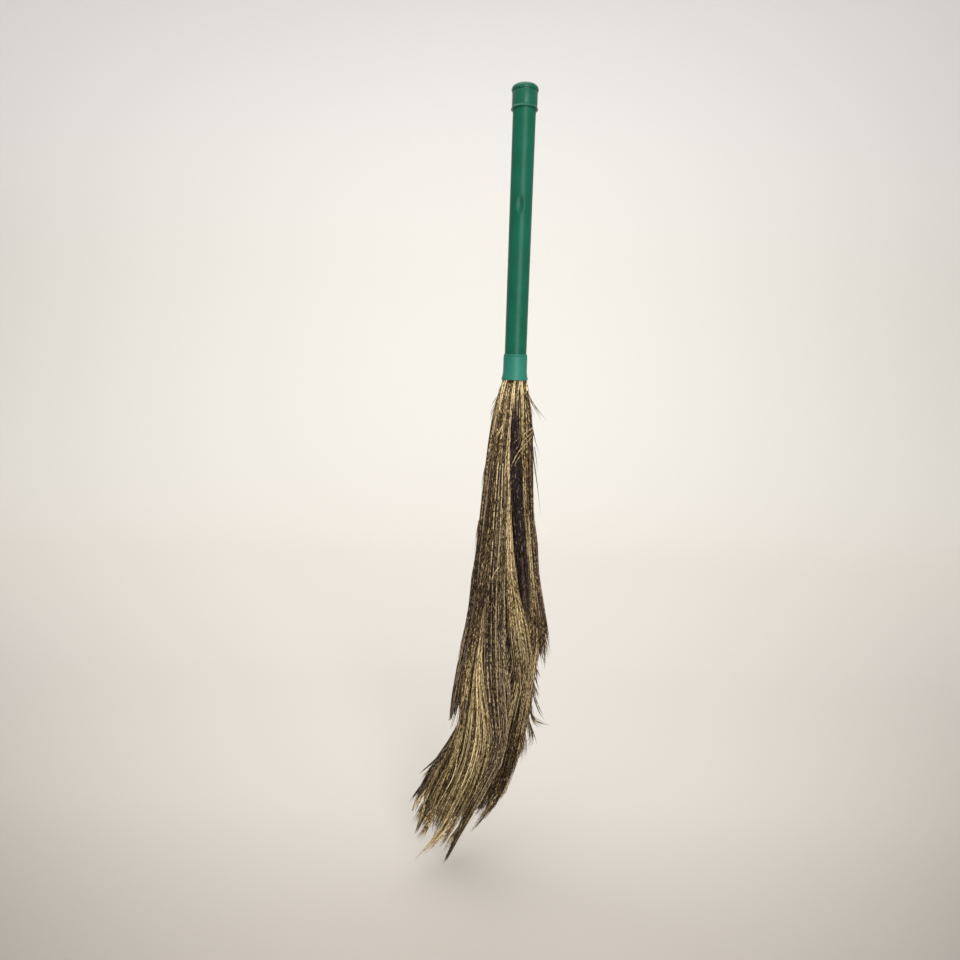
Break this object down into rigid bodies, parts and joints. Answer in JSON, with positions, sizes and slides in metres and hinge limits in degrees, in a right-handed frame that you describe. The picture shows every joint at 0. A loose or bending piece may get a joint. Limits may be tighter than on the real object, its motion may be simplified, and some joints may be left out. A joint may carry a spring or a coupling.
{
  "type": "grass broom",
  "caption": "Grass broom with a straight plastic tube handle, a domed end cap, a flared collar and a long swept skirt of dried grass.",
  "frame": {"origin": "centre of the tube handle, on its axis, where a hand holds the broom", "axes": "+Z along the handle's axis towards the end cap, -Y towards the broom's front, -X towards the side that the skirt's tips sweep to"},
  "size_m": [0.1593, 0.0781, 0.9811],
  "materials": {
    "tube_green": "gloss",
    "cap_green": "gloss",
    "collar_green": "satin",
    "olive_grass": "matte",
    "straw_grass": "matte",
    "brown_grass": "matte",
    "grey_brown_grass": "matte",
    "purple_brown_grass": "matte",
    "tan_stem": "satin",
    "bamboo": "satin",
    "tie_steel": "satin"
  },
  "bodies": {
    "root": {"handle_tube": "tube_green", "end_cap": "cap_green", "end_collar": "collar_green", "bamboo_core_peg": "bamboo", "tie_wire": "tie_steel", "outer_stalk_01": "tan_stem", "outer_stalk_02": "tan_stem", "outer_stalk_03": "tan_stem", "outer_stalk_04": "tan_stem", "outer_stalk_05": "tan_stem", "outer_stalk_06": "tan_stem", "outer_stalk_07": "tan_stem", "outer_stalk_08": "tan_stem", "outer_stalk_09": "tan_stem", "outer_stalk_10": "tan_stem", "outer_stalk_11": "tan_stem", "outer_stalk_12": "tan_stem", "inner_stalk_1": "tan_stem", "inner_stalk_2": "tan_stem", "inner_stalk_3": "tan_stem", "inner_stalk_4": "tan_stem", "inner_stalk_5": "tan_stem", "inner_stalk_6": "tan_stem", "outer_plume_01": "grey_brown_grass", "outer_plume_02": "purple_brown_grass", "outer_plume_03": "olive_grass", "outer_plume_04": "brown_grass", "outer_plume_05": "grey_brown_grass", "outer_plume_06": "brown_grass", "outer_plume_07": "grey_brown_grass", "outer_plume_08": "olive_grass", "outer_plume_09": "brown_grass", "outer_plume_10": "purple_brown_grass", "outer_plume_11": "brown_grass", "outer_plume_12": "olive_grass", "inner_plume_1": "straw_grass", "inner_plume_2": "grey_brown_grass", "inner_plume_3": "brown_grass", "inner_plume_4": "grey_brown_grass", "inner_plume_5": "brown_grass", "inner_plume_6": "olive_grass"}
  },
  "joints": []
}
